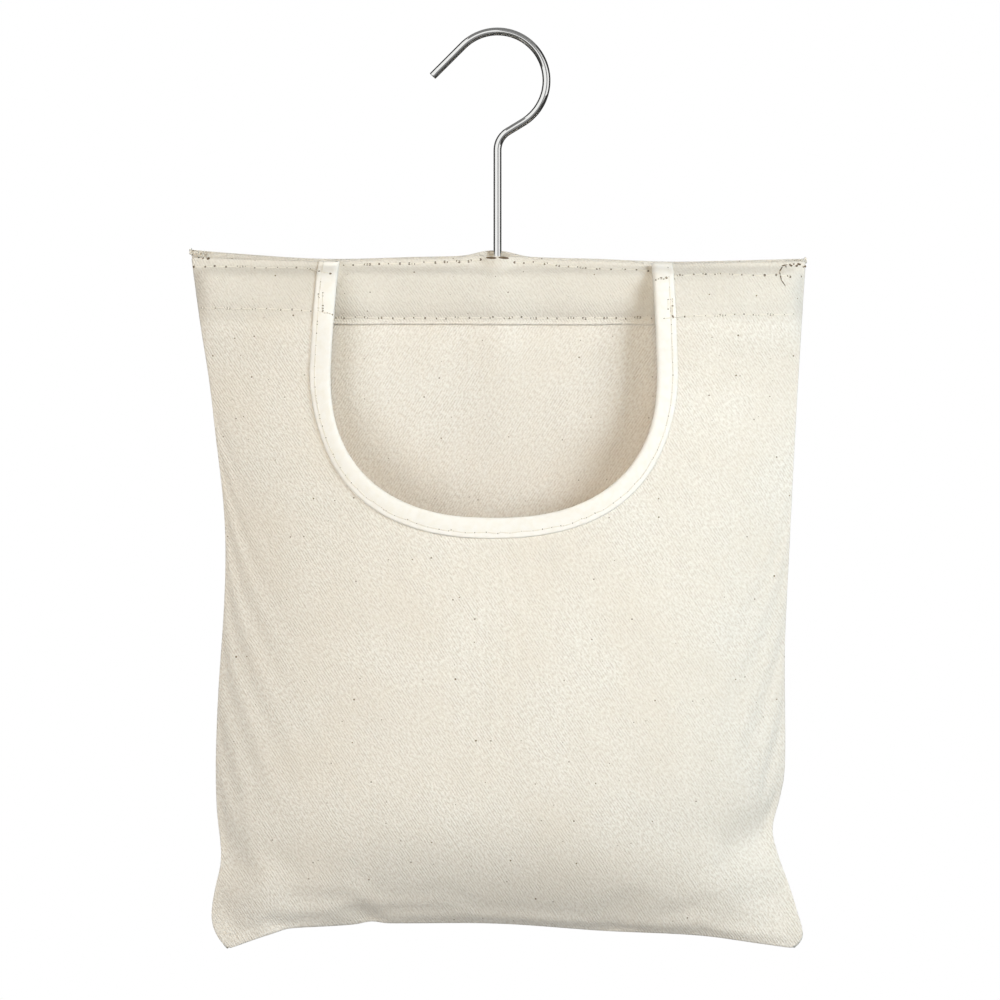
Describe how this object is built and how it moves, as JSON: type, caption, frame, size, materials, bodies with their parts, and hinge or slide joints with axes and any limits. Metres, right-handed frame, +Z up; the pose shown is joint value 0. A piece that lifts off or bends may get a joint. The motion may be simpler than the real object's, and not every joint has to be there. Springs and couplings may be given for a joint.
{
  "type": "peg bag",
  "caption": "Cotton pouch for clothes pegs with a tape-bound U-shaped mouth, hung by a casing on a wooden bar from a swivelling steel wire hook.",
  "frame": {"origin": "inside of the hook's crown, on the shank's axis, where the hook bears on a rail or a clothes line", "axes": "+Z up along the shank, +X to the right as seen from the front, the mouth faces -Y"},
  "size_m": [0.308, 0.0559, 0.4609],
  "materials": {
    "steel": "bright drawn wire",
    "beech": "sanded, unfinished",
    "canvas": "unbleached cotton twill",
    "tape": "white cotton bias tape",
    "thread": "white sewing thread"
  },
  "bodies": {
    "hook": {"hook": "steel", "hook_washer": "steel"},
    "bag": {"hanger_bar": "beech", "back_panel": "canvas", "casing_strip": "canvas", "front_panel": "canvas", "mouth_binding": "tape", "side_seam_right": "canvas", "side_seam_left": "canvas", "bottom_seam": "canvas", "tab_top_stitching_left": "thread", "tab_hem_stitching_left": "thread", "casing_top_stitching_left": "thread", "tab_top_stitching_right": "thread", "tab_hem_stitching_right": "thread", "casing_top_stitching_right": "thread", "casing_hem_stitching": "thread", "binding_stitching": "thread"}
  },
  "joints": [
    {"name": "hook_swivel", "type": "hinge", "parent": "hook", "child": "bag", "pos_m": [0, 0, -0.127], "axis": [0, 0, 1], "continuous": true}
  ]
}
